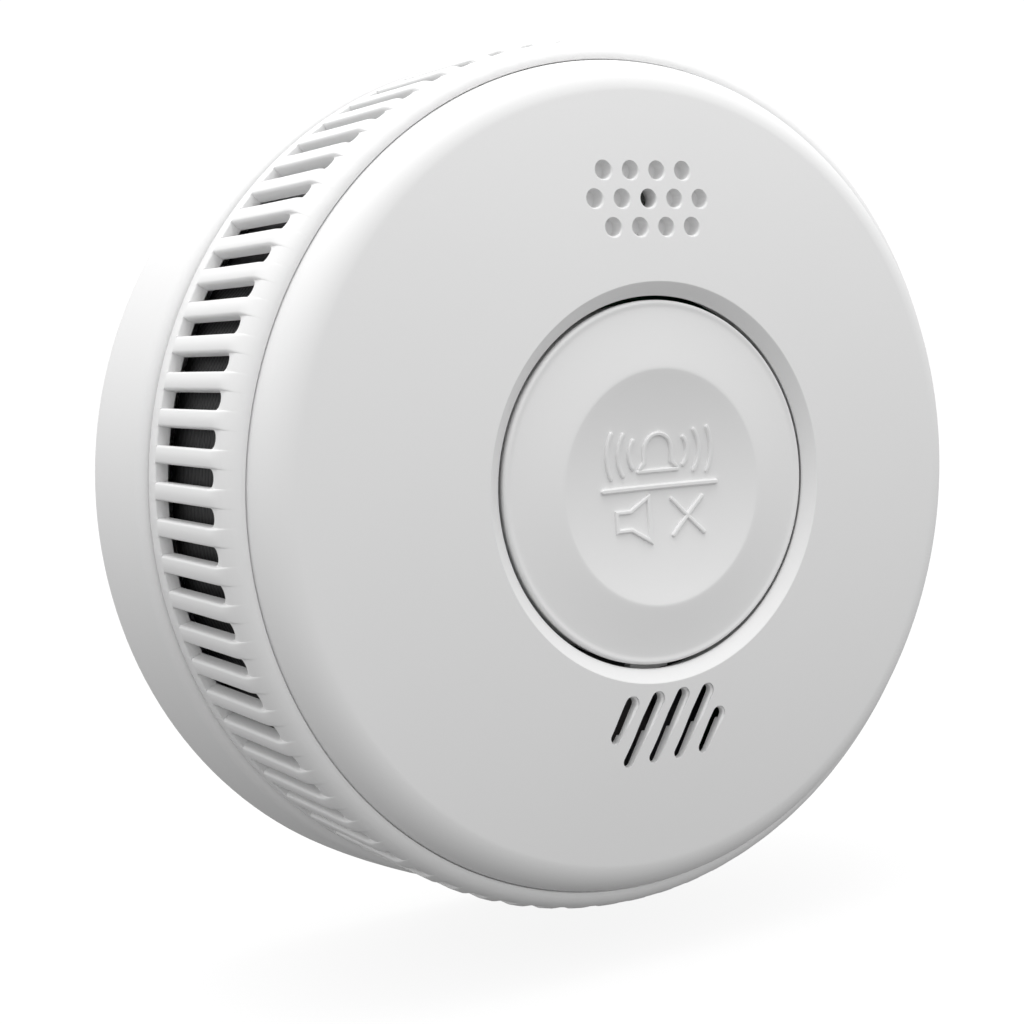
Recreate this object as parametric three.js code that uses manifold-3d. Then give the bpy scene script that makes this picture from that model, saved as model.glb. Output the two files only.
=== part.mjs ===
// Round wall-mounted carbon monoxide alarm with a slotted vent ring, a push button and a twist-off
// mounting plate. Millimetres, +Z up. The wall is the plane y = 0 and the front faces -Y, so a
// "depth" below is a distance from the wall towards the room. Angles run anticlockwise from +X,
// as seen from the front.
import * as THREE from "three";
import { mergeVertices } from "three/addons/utils/BufferGeometryUtils.js";
import Module from "manifold-3d";

const wasm = await Module();
wasm.setup();

// General fits
const restGap = 0.3;
const slideGap = 0.35;
const embed = 0.6;
const roundSides = 60;
const smallSides = 16;

// Overall sizes
const bodyRadius = 54;
const crownDepth = 44.8;

// Mounting plate and its three bayonet hooks
const plateThickness = 2.2;
const plateEdgeGap = 0.5;
const hookCount = 3;
const hookFirstAngle = 10;
const hookArc = 16;
const hookInset = 16;
const hookEndGap = 1;
const hookEntryGap = 1.5;
const hookNeckWall = 1.6;
const hookHeadReach = 2.6;
const hookHeadThickness = 1.4;
const wallScrewSpacing = 60;
const wallScrewRadius = 2.1;
const wallScrewHeadRadius = 4.2;
const wallScrewSlide = 6;
const plateRibHeight = 0.3;
const plateRibRadius = 14;
const plateRibWidth = 1;

// Twist-off motion
const twistAngle = 15;

// Base housing
const baseFlare = 2;
const baseDraft = 0.8;
const baseWall = 2;
const baseFloor = 2;
const baseRim = 0.4;
const baseEdgeRound = 1.5;
const seamDepth = 14.4;
const seamGap = 0.4;
const seamRound = 1.3;
const seamStep = 0.5;
const floorStepRun = 2;
const screwHeadRoom = 2.4;
const headRoomMargin = 1.7;
const twistGap = 0.4;

// Vent ring
const ventCount = 78;
const ventOpenShare = 0.5;
const ribDepth = 1.6;
const ribProud = 0.5;
const ribSink = 0.05;
const ribTipRound = 0.4;
const slotRearLand = 2.4;
const slotFrontLand = 0.5;
const ringShoulder = 3.4;
const ringInnerStep = 2.4;
const ringSpigot = 3;
const flangeThickness = 1;
const flangeLap = 0.5;
const spigotWall = 1;
const ringEdgeRound = 0.3;
const shoulderRound = 0.6;

// Front cover
const coverInset = 3;
const coverWall = 2;
const coverSideLand = 0.8;
const coverEdgeRadius = 5;
const domeRadius = 300;
const bevelWidth = 1.7;
const bevelDrop = 1.05;

// Test button
const buttonRadius = 22;
const buttonGap = 0.5;
const buttonTravel = 1;
const buttonWall = 1.5;
const buttonSkirt = 4.2;
const buttonEdge = 0.6;
const annulusRise = 1.23;
const annulusInner = 14.2;
const annulusOuter = 21;
const annulusFoot = 0.1;
const dishDrop = 1.44;
const collarWall = 1.6;
const collarLength = 3;
const clipCount = 3;
const clipBearing = 30;
const clipReach = 1.2;
const clipArc = 14;
const clipHeight = 1.2;
const stemRadius = 3;
const plungerPlay = 0.6;
const barLength = 16.6;
const barWidth = 0.7;
const barHeight = 0.35;
const barDrop = 0.38;

// Front openings
const holePitch = 3.84;
const holeRowPitch = 3.36;
const holeRadius = 1.1;
const dimpleDepth = 1.5;
const holeMargin = 9.8;
const grilleMargin = 5.5;
const grillePitch = 3.75;
const grilleLean = 30;
const grilleSlotWidth = 1.5;
const grilleLong = 9.8;
const grilleShort = 6;

// Fasteners
const housingScrewCount = 3;
const housingScrewFirstAngle = 60;
const housingPostInset = 11.2;
const housingPostRadius = 3;
const housingSleeveWall = 1;
const housingHeadSink = 2;
const screwShankRadius = 1.3;
const screwHeadRadius = 2.6;
const screwHeadThickness = 1.9;
const screwReach = 9;
const boardScrewAngles = [45, 135, 195, 345];
const boardPostRadius = 2.4;
const boardPostInset = 5;

// Circuit board and what stands on it
const boardThickness = 1.6;
const boardEdgeGap = 1;
const boardSetback = 14.8;
const chamberRadius = 17;
const chamberHeight = 15;
const chamberBaseHeight = 3;
const chamberVaneCount = 12;
const chamberPostGap = 0.81;
const chamberBearing = -68.52;
const partGap = 1;
const chamberRoof = 1.4;
const vaneThickness = 1.2;
const vaneLength = 5;
const vaneTurn = 35;
const opticRadius = 2;
const opticSeat = 1.6;
const opticSpread = 0.45;
const opticLength = 7;
const cellRadius = 10;
const cellHeight = 14;
const cellCapHeight = 2.4;
const cellInletRadius = 3;
const cellX = 19;
const cellZ = 9;
const cellPinRadius = 0.5;
const cellPinLength = 1.5;
const batteryRadius = 8.5;
const batteryLength = 34.5;
const holderWall = 1.4;
const holderFloor = 1.2;
const tabThickness = 0.4;
const tabWidth = 6;
const switchSize = 6.2;
const switchHeight = 3.5;
const plungerRadius = 1.75;
const switchWellDepth = 1.4;
const ledRadius = 1.5;
const ledHeight = 3;
const pipeRadius = 0.75;
const pipeRecess = 1.6;
const sounderRadius = 11.6;
const sounderHeight = 3.6;
const sounderWall = 1.2;
const sounderOutletRadius = 4;
const piezoThickness = 0.4;
const contactRadius = 0.6;
const chipSize = 7;
const chipThickness = 1;
const chipX = -14;
const chipZ = 14;
const inductorRadius = 3;
const inductorHeight = 2.6;
const inductorX = 14;
const inductorZ = 14;
const capacitorRadius = 3.1;
const capacitorHeight = 4.6;
const capacitorX = 22;
const capacitorZ = -2;
const headerWidth = 2.6;
const headerLength = 10;
const headerHeight = 3;
const headerX = -22;
const headerZ = -4;

// Power switch on the back
const powerX = 13;
const powerZ = -6;
const powerTravel = 3;
const powerKnob = 3.4;
const powerKnobLength = 3.8;
const powerCaseWall = 2.2;
const powerCaseDepth = 4;
const powerRunDepth = 2.2;
const powerKnobSink = 0.4;

// Insect screen and rating label
const screenThickness = 0.4;
const labelThickness = 0.2;
const labelRadius = 13;
const labelBottom = 4;
const labelShoulder = 10;

// Depths and radii that follow from the sizes above
const floorStart = plateThickness + twistGap;
const floorEnd = floorStart + baseFloor;
const recessEnd = floorEnd + screwHeadRoom;
const baseRadius = bodyRadius + baseFlare;
const baseFrontRadius = bodyRadius + baseFlare - baseDraft;
const baseInnerRadius = baseFrontRadius - baseWall - seamStep;
const ringStart = seamDepth + seamGap;
const spigotOuter = baseInnerRadius - restGap;
const spigotInner = spigotOuter - spigotWall;
const ringInnerRadius = bodyRadius - ribDepth;
const coverRadius = bodyRadius - coverInset;
const coverInner = coverRadius - coverWall;
const coverEdgeCircle = coverRadius - coverEdgeRadius;
const coverEdgeStart = faceDepth(coverEdgeCircle) - coverEdgeRadius;
const coverStart = coverEdgeStart - coverSideLand;
const flangeInner = coverInner - flangeLap;
const flangeEnd = coverStart - restGap;
const flangeStart = flangeEnd - flangeThickness;
const slotStart = ringStart + slotRearLand;
const slotEnd = flangeStart - slotFrontLand;
const ringEnd = slotEnd + ringShoulder;
const grooveRadius = bodyRadius - ribProud;
const boardFront = crownDepth - boardSetback + boardThickness;
const boardRear = crownDepth - boardSetback;
const housingPostCircle = bodyRadius - housingPostInset;
const boardRadius = housingPostCircle - housingPostRadius - boardEdgeGap;
const boardPostCircle = boardRadius - boardPostInset;
const headRoomRadius = boardPostCircle + headRoomMargin;
const chamberPost = onCircle(boardPostCircle, boardScrewAngles[1]);
const chamberOffset = onCircle(chamberRadius + boardPostRadius + chamberPostGap, chamberBearing);
const chamberX = chamberPost[0] + chamberOffset[0];
const chamberZ = chamberPost[1] + chamberOffset[1];
const batteryZ = chamberZ - chamberRadius - partGap - batteryRadius - holderWall;
const hookCircle = bodyRadius - hookInset;
const buttonOpening = buttonRadius + buttonGap;
const bevelRadius = buttonOpening + bevelWidth;
const gapDepth = faceDepth(bevelRadius) - bevelDrop;
const collarEnd = gapDepth - collarLength;
const plungerFront = gapDepth - buttonSkirt - plungerPlay;
const holeHeight = bevelRadius + holeMargin;
const grilleHeight = -(bevelRadius + grilleMargin);
const pitchAngle = (2 * Math.PI) / ventCount;

// Colours and finishes
const white = finish(0xeeeeec, 0.55, 0);
const shade = finish(0xe2e2df, 0.6, 0);
const dark = finish(0x26282a, 0.7, 0);
const boardGreen = finish(0x1f5b38, 0.5, 0);
const steel = finish(0xb9bcbf, 0.35, 1);
const brass = finish(0xc9a24b, 0.35, 1);
const blue = finish(0x2f5d9c, 0.5, 0);
const paper = finish(0xf4f4f0, 0.8, 0);
const clear = finish(0xdfe6e8, 0.1, 0);
const green = finish(0x57b56a, 0.3, 0);

const alarm = new THREE.Group();

function finish(color, roughness, metalness) {
  return new THREE.MeshStandardMaterial({ color, roughness, metalness });
}

// Depth of the domed front face at a radius.
function faceDepth(radius) {
  return crownDepth - (radius * radius) / (2 * domeRadius);
}

function radians(degrees) {
  return (degrees * Math.PI) / 180;
}

// Point on a circle about the axis, in front view.
function onCircle(radius, degrees) {
  return [radius * Math.cos(radians(degrees)), radius * Math.sin(radians(degrees))];
}

// A closed three.js geometry as a solid, with its faces turned outwards.
function solid(geometry) {
  const plain = geometry.index ? geometry.toNonIndexed() : geometry.clone();
  plain.deleteAttribute("normal");
  plain.deleteAttribute("uv");
  const merged = mergeVertices(plain, 1e-4);
  const vertProperties = new Float32Array(merged.attributes.position.array);
  const source = merged.index.array;
  const kept = [];
  for (let i = 0; i < source.length; i += 3) {
    const [a, b, c] = [source[i], source[i + 1], source[i + 2]];
    if (a !== b && b !== c && c !== a) {
      kept.push(a, b, c);
    }
  }
  if (signedVolume(vertProperties, kept) < 0) {
    kept.reverse();
  }
  const mesh = new wasm.Mesh({ numProp: 3, vertProperties, triVerts: new Uint32Array(kept) });
  return new wasm.Manifold(mesh);
}

function signedVolume(points, triangles) {
  const [a, b, c] = [new THREE.Vector3(), new THREE.Vector3(), new THREE.Vector3()];
  let total = 0;
  for (let i = 0; i < triangles.length; i += 3) {
    a.fromArray(points, 3 * triangles[i]);
    b.fromArray(points, 3 * triangles[i + 1]);
    c.fromArray(points, 3 * triangles[i + 2]);
    total += a.dot(b.clone().cross(c));
  }
  return total;
}

function joined(first, ...others) {
  return others.reduce((whole, piece) => whole.add(piece), first);
}

function cut(first, ...tools) {
  return tools.reduce((whole, tool) => whole.subtract(tool), first);
}

// Adds one named piece to the alarm.
function piece(name, body, material) {
  const mesh = body.getMesh();
  const geometry = new THREE.BufferGeometry();
  geometry.setAttribute("position", new THREE.BufferAttribute(new Float32Array(mesh.vertProperties), 3));
  geometry.setIndex(new THREE.BufferAttribute(new Uint32Array(mesh.triVerts), 1));
  const part = new THREE.Mesh(geometry, material);
  part.name = name;
  alarm.add(part);
}

// Solid of revolution about the axis, from [radius, depth] corners.
function turned(profile, sides = roundSides) {
  const onAxis = profile[0][0] === 0;
  const corners = onAxis ? profile : [...profile, profile[0]];
  const points = corners.map(([radius, depth]) => new THREE.Vector2(radius, -depth));
  return solid(new THREE.LatheGeometry(points, sides));
}

// Round bar along the depth, centred at x, z.
function rod(x, z, radius, from, to, sides = smallSides) {
  const bar = new THREE.CylinderGeometry(radius, radius, to - from, sides);
  bar.translate(x, -(from + to) / 2, z);
  return solid(bar);
}

// Rectangular block, centred at x, z.
function block(x, z, width, height, from, to) {
  const box = new THREE.BoxGeometry(width, to - from, height);
  box.translate(x, -(from + to) / 2, z);
  return solid(box);
}

// A front-view outline made solid between two depths.
function plateOf(shape, from, to, curveSegments = 8) {
  const slab = new THREE.ExtrudeGeometry(shape, { depth: to - from, bevelEnabled: false, curveSegments });
  slab.translate(0, 0, from);
  slab.rotateX(Math.PI / 2);
  return solid(slab);
}

// Part of a ring between two radii and two angles, made solid between two depths.
function arcBlock(inner, outer, fromDegrees, toDegrees, from, to) {
  const shape = new THREE.Shape();
  shape.absarc(0, 0, outer, radians(fromDegrees), radians(toDegrees), false);
  shape.absarc(0, 0, inner, radians(toDegrees), radians(fromDegrees), true);
  return plateOf(shape, from, to, 6);
}

// Slot with round ends, centred at x, z and leaning from the vertical.
function slotCutter(x, z, length, width, leanDegrees, from, to) {
  const half = (length - width) / 2;
  const radius = width / 2;
  const shape = new THREE.Shape();
  shape.absarc(0, half, radius, 0, Math.PI, false);
  shape.absarc(0, -half, radius, Math.PI, 2 * Math.PI, false);
  const slab = new THREE.ExtrudeGeometry(shape, { depth: to - from, bevelEnabled: false, curveSegments: 4 });
  slab.rotateZ(-radians(leanDegrees));
  slab.translate(x, z, from);
  slab.rotateX(Math.PI / 2);
  return solid(slab);
}

// Flat plate fixed to the wall. Three L-shaped hooks stand on it, and two keyholes take wall screws.
function makeMountingPlate() {
  const radius = baseInnerRadius - plateEdgeGap;
  let plate = turned([[0, 0], [radius, 0], [radius, plateThickness], [0, plateThickness]]);
  const ribRing = turned([
    [plateRibRadius, plateThickness - embed],
    [plateRibRadius + plateRibWidth, plateThickness - embed],
    [plateRibRadius + plateRibWidth, plateThickness + plateRibHeight],
    [plateRibRadius, plateThickness + plateRibHeight],
  ], 36);
  plate = joined(plate, ribRing);
  const neckInner = hookCircle;
  const neckOuter = hookCircle + hookNeckWall;
  const headStart = floorEnd + twistGap;
  const headEnd = headStart + hookHeadThickness;
  for (let i = 0; i < hookCount; i += 1) {
    const middle = hookFirstAngle + (360 / hookCount) * i;
    const [low, high] = [middle - hookArc / 2, middle + hookArc / 2];
    const neck = arcBlock(neckInner, neckOuter, low, high, plateThickness - embed, headEnd);
    const head = arcBlock(neckInner, neckOuter + hookHeadReach, low, high, headStart, headEnd);
    plate = joined(plate, neck, head);
  }
  for (const side of [-1, 1]) {
    const x = (side * wallScrewSpacing) / 2;
    const entry = rod(x, 0, wallScrewHeadRadius, -embed, plateThickness + embed);
    const slide = slotCutter(x, wallScrewSlide / 2, wallScrewSlide + 2 * wallScrewRadius,
      2 * wallScrewRadius, 0, -embed, plateThickness + embed);
    plate = cut(plate, entry, slide);
  }
  piece("mounting_plate", plate, shade);
}

// Posts that rise from the base's floor and take the board's screws.
function boardPosts() {
  return boardScrewAngles.map((degrees) => {
    const [x, z] = onCircle(boardPostCircle, degrees);
    const post = rod(x, z, boardPostRadius, recessEnd - embed, boardRear - restGap, 12);
    const pilot = rod(x, z, screwShankRadius + restGap, boardRear - screwReach, boardRear);
    return cut(post, pilot);
  });
}

function housingScrewPlaces() {
  const places = [];
  for (let i = 0; i < housingScrewCount; i += 1) {
    places.push(onCircle(housingPostCircle, housingScrewFirstAngle + (360 / housingScrewCount) * i));
  }
  return places;
}

// Rear shell: a floor with bayonet slots and a flared side wall with rounded edges.
function makeBaseHousing() {
  const edge = baseEdgeRound;
  const shell = turned([
    [0, floorStart + screwHeadRoom],
    [headRoomRadius, floorStart + screwHeadRoom],
    [headRoomRadius, floorStart],
    [baseInnerRadius, floorStart],
    [baseInnerRadius, baseRim],
    [baseRadius - edge, baseRim],
    [baseRadius - 0.3 * edge, baseRim + 0.3 * edge],
    [baseRadius, baseRim + edge],
    [baseFrontRadius, seamDepth - seamRound],
    [baseFrontRadius - seamRound, seamDepth],
    [baseInnerRadius, seamDepth],
    [baseInnerRadius, floorEnd],
    [headRoomRadius + floorStepRun, floorEnd],
    [headRoomRadius, recessEnd],
    [0, recessEnd],
  ]);
  let base = joined(shell, ...boardPosts());
  for (const [x, z] of housingScrewPlaces()) {
    base = joined(base, rod(x, z, housingPostRadius + housingSleeveWall, floorEnd - embed, ringStart));
    base = cut(base,
      rod(x, z, screwHeadRadius + restGap, 0, floorEnd + housingHeadSink),
      rod(x, z, screwShankRadius + restGap, 0, ringStart + embed));
  }
  const inner = hookCircle - slideGap;
  const narrow = hookCircle + hookNeckWall + slideGap;
  const wide = narrow + hookHeadReach;
  for (let i = 0; i < hookCount; i += 1) {
    const middle = hookFirstAngle + (360 / hookCount) * i;
    const low = middle - twistAngle - hookArc / 2 - hookEntryGap;
    const high = middle + hookArc / 2 + hookEndGap;
    const run = arcBlock(inner, narrow, low, high, floorStart - embed, floorEnd + embed);
    const entryHigh = low + hookArc + 2 * hookEntryGap;
    const entry = arcBlock(inner, wide, low, entryHigh, floorStart - embed, floorEnd + embed);
    base = cut(base, run, entry);
  }
  const opening = powerKnobLength + powerTravel + 2 * slideGap;
  base = cut(base, block(powerX, powerZ, opening, powerKnob + 2 * slideGap, 0, recessEnd + embed));
  piece("base_housing", base, white);
}

// Middle ring of the case: two hoops joined by radial ribs, with an open slot between every two ribs.
function makeVentRing() {
  const gutterRadius = bodyRadius - ringInnerStep;
  const rearHoop = turned([
    [bodyRadius - ringEdgeRound, ringStart],
    [bodyRadius, ringStart + ringEdgeRound],
    [bodyRadius, slotStart],
    [ringInnerRadius, slotStart],
    [spigotInner, ringStart - ringSpigot],
    [spigotOuter, ringStart - ringSpigot],
    [spigotOuter, ringStart],
  ], ventCount);
  const frontHoop = turned([
    [grooveRadius, slotEnd],
    [grooveRadius - 0.5, slotEnd + 0.5 * ringShoulder],
    [gutterRadius + shoulderRound, ringEnd - 0.3 * shoulderRound],
    [gutterRadius, ringEnd],
    [coverRadius + restGap, flangeEnd],
    [flangeInner, flangeEnd],
    [flangeInner, flangeStart],
    [ringInnerRadius, flangeStart],
    [ringInnerRadius, slotEnd],
  ], ventCount);
  const ribWidth = pitchAngle * bodyRadius * (1 - ventOpenShare);
  const ribInner = ringInnerRadius + ribSink;
  const ribOuter = bodyRadius * Math.cos(pitchAngle / 2) - ribSink;
  const outline = new THREE.Shape([
    new THREE.Vector2(ribInner, slotStart - embed),
    new THREE.Vector2(ribOuter, slotStart - embed),
    new THREE.Vector2(ribOuter, slotEnd - ribTipRound),
    new THREE.Vector2(grooveRadius, slotEnd + 0.5 * ringShoulder),
    new THREE.Vector2(ribInner, slotEnd + embed),
  ]);
  const rib = new THREE.ExtrudeGeometry(outline, { depth: ribWidth, bevelEnabled: false });
  rib.translate(0, 0, -ribWidth / 2);
  rib.rotateX(Math.PI);
  const ribs = [];
  for (let i = 0; i < ventCount; i += 1) {
    const turnedRib = rib.clone();
    turnedRib.rotateY(-(i + 0.5) * pitchAngle);
    ribs.push(solid(turnedRib));
  }
  piece("vent_ring", joined(rearHoop, frontHoop, ...ribs), white);
}

// Fine screen behind the slots that keeps insects out of the sensing chamber.
function makeInsectScreen() {
  const outer = spigotInner - restGap;
  const inner = outer - screenThickness;
  const [from, to] = [ringStart + restGap, flangeStart - restGap];
  piece("insect_screen", turned([[inner, from], [outer, from], [outer, to], [inner, to]], 60), dark);
}

// Quarter round between the cover's face and its side, as [radius, depth] corners.
function coverEdge(radius, steps) {
  const corners = [];
  for (let i = 0; i <= steps; i += 1) {
    const angle = (Math.PI / 2) * (1 - i / steps);
    corners.push([coverEdgeCircle + radius * Math.cos(angle), coverEdgeStart + radius * Math.sin(angle)]);
  }
  return corners;
}

// Places of the round holes above the button: rows of four, five and four.
function holePlaces() {
  const places = [];
  for (const row of [-1, 0, 1]) {
    const count = row === 0 ? 5 : 4;
    for (let i = 0; i < count; i += 1) {
      places.push([(i - (count - 1) / 2) * holePitch, holeHeight + row * holeRowPitch]);
    }
  }
  return places;
}

// The five leaning sound slots below the button: the outer two are short, one high and one low.
function grilleCutters(from, to) {
  const cutters = [];
  const shift = (grilleLong - grilleShort) / 2;
  for (const column of [-2, -1, 0, 1, 2]) {
    const short = Math.abs(column) === 2;
    const along = short ? -Math.sign(column) * shift : 0;
    const x = column * grillePitch + along * Math.sin(radians(grilleLean));
    const z = grilleHeight + along * Math.cos(radians(grilleLean));
    const length = short ? grilleShort : grilleLong;
    cutters.push(slotCutter(x, z, length, grilleSlotWidth, grilleLean, from, to));
  }
  return cutters;
}

// Front shell: a domed face with a soft edge, a bevelled button opening and a guide collar behind it.
function makeFrontCover() {
  const guide = buttonOpening + collarWall;
  const inner = coverEdge(coverEdgeRadius - coverWall, 2).reverse();
  const shell = turned([
    [bevelRadius, faceDepth(bevelRadius)],
    [(bevelRadius + coverRadius) / 2, faceDepth((bevelRadius + coverRadius) / 2)],
    ...coverEdge(coverEdgeRadius, 4),
    [coverRadius, coverStart],
    [coverInner, coverStart],
    ...inner,
    [guide, faceDepth(guide) - coverWall],
    [guide, collarEnd],
    [buttonOpening, collarEnd],
    [buttonOpening, gapDepth],
  ]);
  let cover = shell;
  for (const [x, z] of housingScrewPlaces()) {
    const postFront = faceDepth(housingPostCircle) - coverWall / 2;
    const pilotFront = ringStart + screwReach + embed + restGap;
    const post = rod(x, z, housingPostRadius, ringStart + restGap, postFront);
    const pilot = rod(x, z, screwShankRadius + restGap, ringStart, pilotFront);
    cover = cut(joined(cover, post), pilot);
  }
  const front = crownDepth + embed;
  for (const [x, z] of holePlaces()) {
    const centre = x === 0 && z === holeHeight;
    const bottom = centre ? boardFront : faceDepth(Math.hypot(x, z)) - dimpleDepth;
    cover = cut(cover, rod(x, z, holeRadius, bottom, front, 10));
  }
  piece("front_cover", cut(cover, ...grilleCutters(boardFront, front)), white);
}

// Round push button with a dished middle, a skirt and clips that hook behind the guide collar.
function makeTestButton() {
  const skirtEnd = gapDepth - buttonSkirt;
  const skirtInner = buttonRadius - buttonWall;
  const top = gapDepth + annulusRise;
  const dish = [];
  const steps = 4;
  for (let i = 0; i <= steps; i += 1) {
    const radius = (annulusInner * i) / steps;
    dish.push([radius, top - dishDrop * (1 - (i / steps) ** 2)]);
  }
  const cap = turned([
    ...dish,
    [annulusOuter, gapDepth + annulusFoot],
    [buttonRadius - buttonEdge / 2, gapDepth + 2 * annulusFoot],
    [buttonRadius, gapDepth - buttonEdge / 2],
    [buttonRadius, skirtEnd],
    [skirtInner, skirtEnd],
    [skirtInner, gapDepth - buttonWall],
    [annulusInner, top - dishDrop - buttonWall],
    [0, top - dishDrop - buttonWall],
  ], 48);
  const stem = rod(0, 0, stemRadius, plungerFront + restGap, top - dishDrop - embed);
  const barDepth = top - dishDrop;
  const bar = block(0, -barDrop, barLength, barWidth, barDepth - embed, barDepth + barHeight + 0.1);
  let button = joined(cap, stem, bar);
  for (let i = 0; i < clipCount; i += 1) {
    const middle = clipBearing + (360 / clipCount) * i;
    const clipTop = collarEnd - slideGap;
    const [low, high] = [middle - clipArc / 2, middle + clipArc / 2];
    const clipOuter = buttonRadius + clipReach;
    const clip = arcBlock(buttonRadius - embed, clipOuter, low, high, clipTop - clipHeight, clipTop);
    button = joined(button, clip);
  }
  piece("test_button", button, white);
}

// Case of the tactile switch under the button, with a well for its plunger.
function makeButtonSwitch() {
  const from = boardFront + restGap;
  const to = from + switchHeight;
  const well = rod(0, 0, plungerRadius + slideGap, to - buttonTravel - switchWellDepth, to + embed);
  piece("button_switch_case", cut(block(0, 0, switchSize, switchSize, from, to), well), dark);
  piece("button_switch_plunger", rod(0, 0, plungerRadius, to - buttonTravel, plungerFront), steel);
}

// Pan head screw. Its head starts at headDepth and its shank runs on in the direction, -1 or 1.
function screw(x, z, headDepth, direction, length) {
  const step = headDepth + direction * screwHeadThickness;
  const tip = step + direction * length;
  const head = rod(x, z, screwHeadRadius, Math.min(headDepth, step), Math.max(headDepth, step));
  const shankStart = step - direction * embed;
  const shank = rod(x, z, screwShankRadius, Math.min(shankStart, tip), Math.max(shankStart, tip), 10);
  return joined(head, shank);
}

function makeScrews() {
  housingScrewPlaces().forEach(([x, z], i) => {
    const step = floorEnd + housingHeadSink - restGap;
    const length = ringStart + screwReach - step;
    piece(`housing_screw_${i + 1}`, screw(x, z, step - screwHeadThickness, 1, length), steel);
  });
  boardScrewAngles.forEach((degrees, i) => {
    const [x, z] = onCircle(boardPostCircle, degrees);
    const head = boardFront + restGap + screwHeadThickness;
    piece(`board_screw_${i + 1}`, screw(x, z, head, -1, screwReach - restGap), steel);
  });
}

// Round circuit board with clearance holes for its screws.
function makeCircuitBoard() {
  let board = rod(0, 0, boardRadius, boardRear, boardFront, 60);
  for (const degrees of boardScrewAngles) {
    const [x, z] = onCircle(boardPostCircle, degrees);
    board = cut(board, rod(x, z, screwShankRadius + restGap, boardRear - embed, boardFront + embed, 12));
  }
  piece("circuit_board", board, boardGreen);
}

// Optical smoke chamber behind the board: a dark base with the optics, and a cap with vanes around it.
function makeChamber() {
  const front = boardRear - restGap;
  const baseRear = front - chamberBaseHeight;
  const capRear = front - chamberHeight;
  const capFront = baseRear - restGap;
  const seats = [-1, 1].map((side) => chamberX + side * chamberRadius * opticSpread);
  let base = rod(chamberX, chamberZ, chamberRadius, baseRear, front, 36);
  for (const x of seats) {
    base = cut(base, rod(x, chamberZ, opticRadius + restGap, baseRear - embed, baseRear + opticSeat));
  }
  piece("chamber_base", base, dark);
  const roof = rod(chamberX, chamberZ, chamberRadius, capRear, capRear + chamberRoof, 36);
  const vanes = [];
  for (let i = 0; i < chamberVaneCount; i += 1) {
    const angle = (2 * Math.PI * i) / chamberVaneCount;
    const vane = new THREE.BoxGeometry(vaneThickness, capFront - capRear - embed, vaneLength);
    vane.rotateY(radians(vaneTurn));
    vane.translate(chamberRadius - vaneLength / 2, -(capFront + capRear + embed) / 2, 0);
    vane.rotateY(-angle);
    vane.translate(chamberX, 0, chamberZ);
    vanes.push(solid(vane));
  }
  piece("chamber_cap", joined(roof, ...vanes), dark);
  const [emitterX, receiverX] = seats;
  const to = baseRear + opticSeat - restGap;
  const from = to - opticLength;
  piece("infrared_emitter", rod(emitterX, chamberZ, opticRadius, from, to, 12), clear);
  piece("photodiode", rod(receiverX, chamberZ, opticRadius, from, to, 12), dark);
}

// Electrochemical carbon monoxide cell: a can with a vented cap facing the back, on two pins.
function makeGasCell() {
  const front = boardRear - cellPinLength;
  const rear = front - cellHeight;
  piece("co_cell_body", rod(cellX, cellZ, cellRadius, rear, front, 30), steel);
  const cap = rod(cellX, cellZ, cellRadius - 0.6, rear - restGap - cellCapHeight, rear - restGap, 30);
  const inlet = rod(cellX, cellZ, cellInletRadius, 0, rear, 12);
  piece("co_cell_cap", cut(cap, inlet), white);
  [-1, 1].forEach((side, i) => {
    const x = cellX + side * cellRadius * 0.5;
    const pin = rod(x, cellZ, cellPinRadius, front + restGap, boardRear - restGap, 8);
    piece(`co_cell_pin_${i + 1}`, pin, steel);
  });
}

// Sealed lithium cell lying across the lower half of the board in an open holder, with two end tabs.
function makeBattery() {
  const centreDepth = boardRear - restGap - holderFloor - restGap - batteryRadius;
  const cell = new THREE.CylinderGeometry(batteryRadius, batteryRadius, batteryLength, 24);
  cell.rotateZ(Math.PI / 2);
  cell.translate(0, -centreDepth, batteryZ);
  piece("lithium_cell", solid(cell), blue);
  const troughRadius = batteryRadius + restGap;
  const trough = new THREE.CylinderGeometry(troughRadius, troughRadius, 2 * batteryLength, 24);
  trough.rotateZ(Math.PI / 2);
  trough.translate(0, -centreDepth, batteryZ);
  const height = 2 * (batteryRadius + holderWall);
  const length = batteryLength - 6;
  const holder = block(0, batteryZ, length, height, centreDepth, boardRear - restGap);
  piece("battery_holder", cut(holder, solid(trough)), shade);
  for (const [name, side] of [["battery_tab_positive", 1], ["battery_tab_negative", -1]]) {
    const x = side * (batteryLength / 2 + restGap + tabThickness / 2);
    piece(name, block(x, batteryZ, tabThickness, tabWidth, centreDepth - 2, boardRear - restGap), steel);
  }
}

// Piezo sounder in front of the board, facing the leaning slots, on two spring contacts.
function makeSounder() {
  const from = boardFront + restGap;
  const to = from + sounderHeight;
  const discFrom = to - sounderWall - restGap - piezoThickness;
  const shell = cut(rod(0, grilleHeight, sounderRadius, from, to, 36),
    rod(0, grilleHeight, sounderRadius - sounderWall, from - embed, to - sounderWall, 36),
    rod(0, grilleHeight, sounderOutletRadius, from, to + embed, 16));
  piece("sounder_case", shell, dark);
  const discRadius = sounderRadius - sounderWall - restGap;
  piece("piezo_disc", rod(0, grilleHeight, discRadius, discFrom, discFrom + piezoThickness, 30), brass);
  [-1, 1].forEach((side, i) => {
    const x = side * sounderRadius * 0.5;
    const contact = rod(x, grilleHeight, contactRadius, from, discFrom - restGap, 8);
    piece(`sounder_contact_${i + 1}`, contact, brass);
  });
}

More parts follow.
